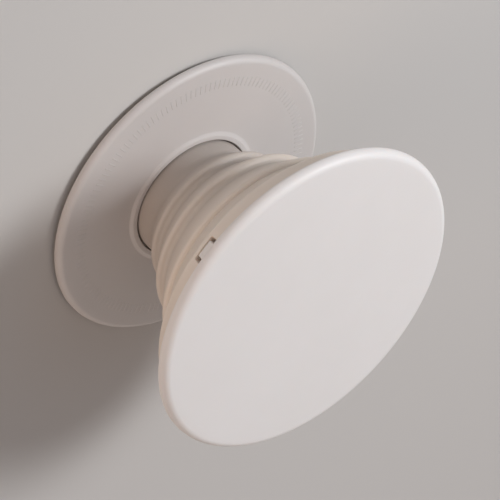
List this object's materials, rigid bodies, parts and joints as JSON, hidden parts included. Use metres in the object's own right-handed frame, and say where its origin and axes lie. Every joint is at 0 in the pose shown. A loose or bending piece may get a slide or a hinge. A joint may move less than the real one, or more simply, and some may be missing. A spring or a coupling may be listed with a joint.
{
  "type": "collapsible phone grip",
  "caption": "Round finger grip for the back of a phone: stick-on base, stepped accordion bellows that pushes flat and turns, and a wide crowned button.",
  "frame": {"origin": "on the grip's axis, in the sticking face of the adhesive pad", "axes": "+Z out of the phone's back along the grip's axis, from the base to the button; the snap tabs face along X and Y"},
  "size_m": [0.0396, 0.0396, 0.0234],
  "materials": {
    "pad": "tacky foam and gel",
    "base": "fine moulded matte",
    "elastomer": "translucent satin elastomer",
    "plug": "moulded",
    "button": "fine moulded matte"
  },
  "bodies": {
    "base": {"adhesive_pad": "pad", "base_plate": "base"},
    "foot": {"foot_plug": "plug", "bellows": "elastomer"},
    "button": {"button": "button"}
  },
  "joints": [
    {"name": "swivel", "type": "hinge", "parent": "base", "child": "foot", "pos_m": [0, 0, 0], "axis": [0, 0, 1], "continuous": true},
    {"name": "collapse", "type": "slide", "parent": "foot", "child": "button", "axis": [0, 0, -1], "range_m": [0, 0.0165], "deforming": ["bellows"]}
  ]
}
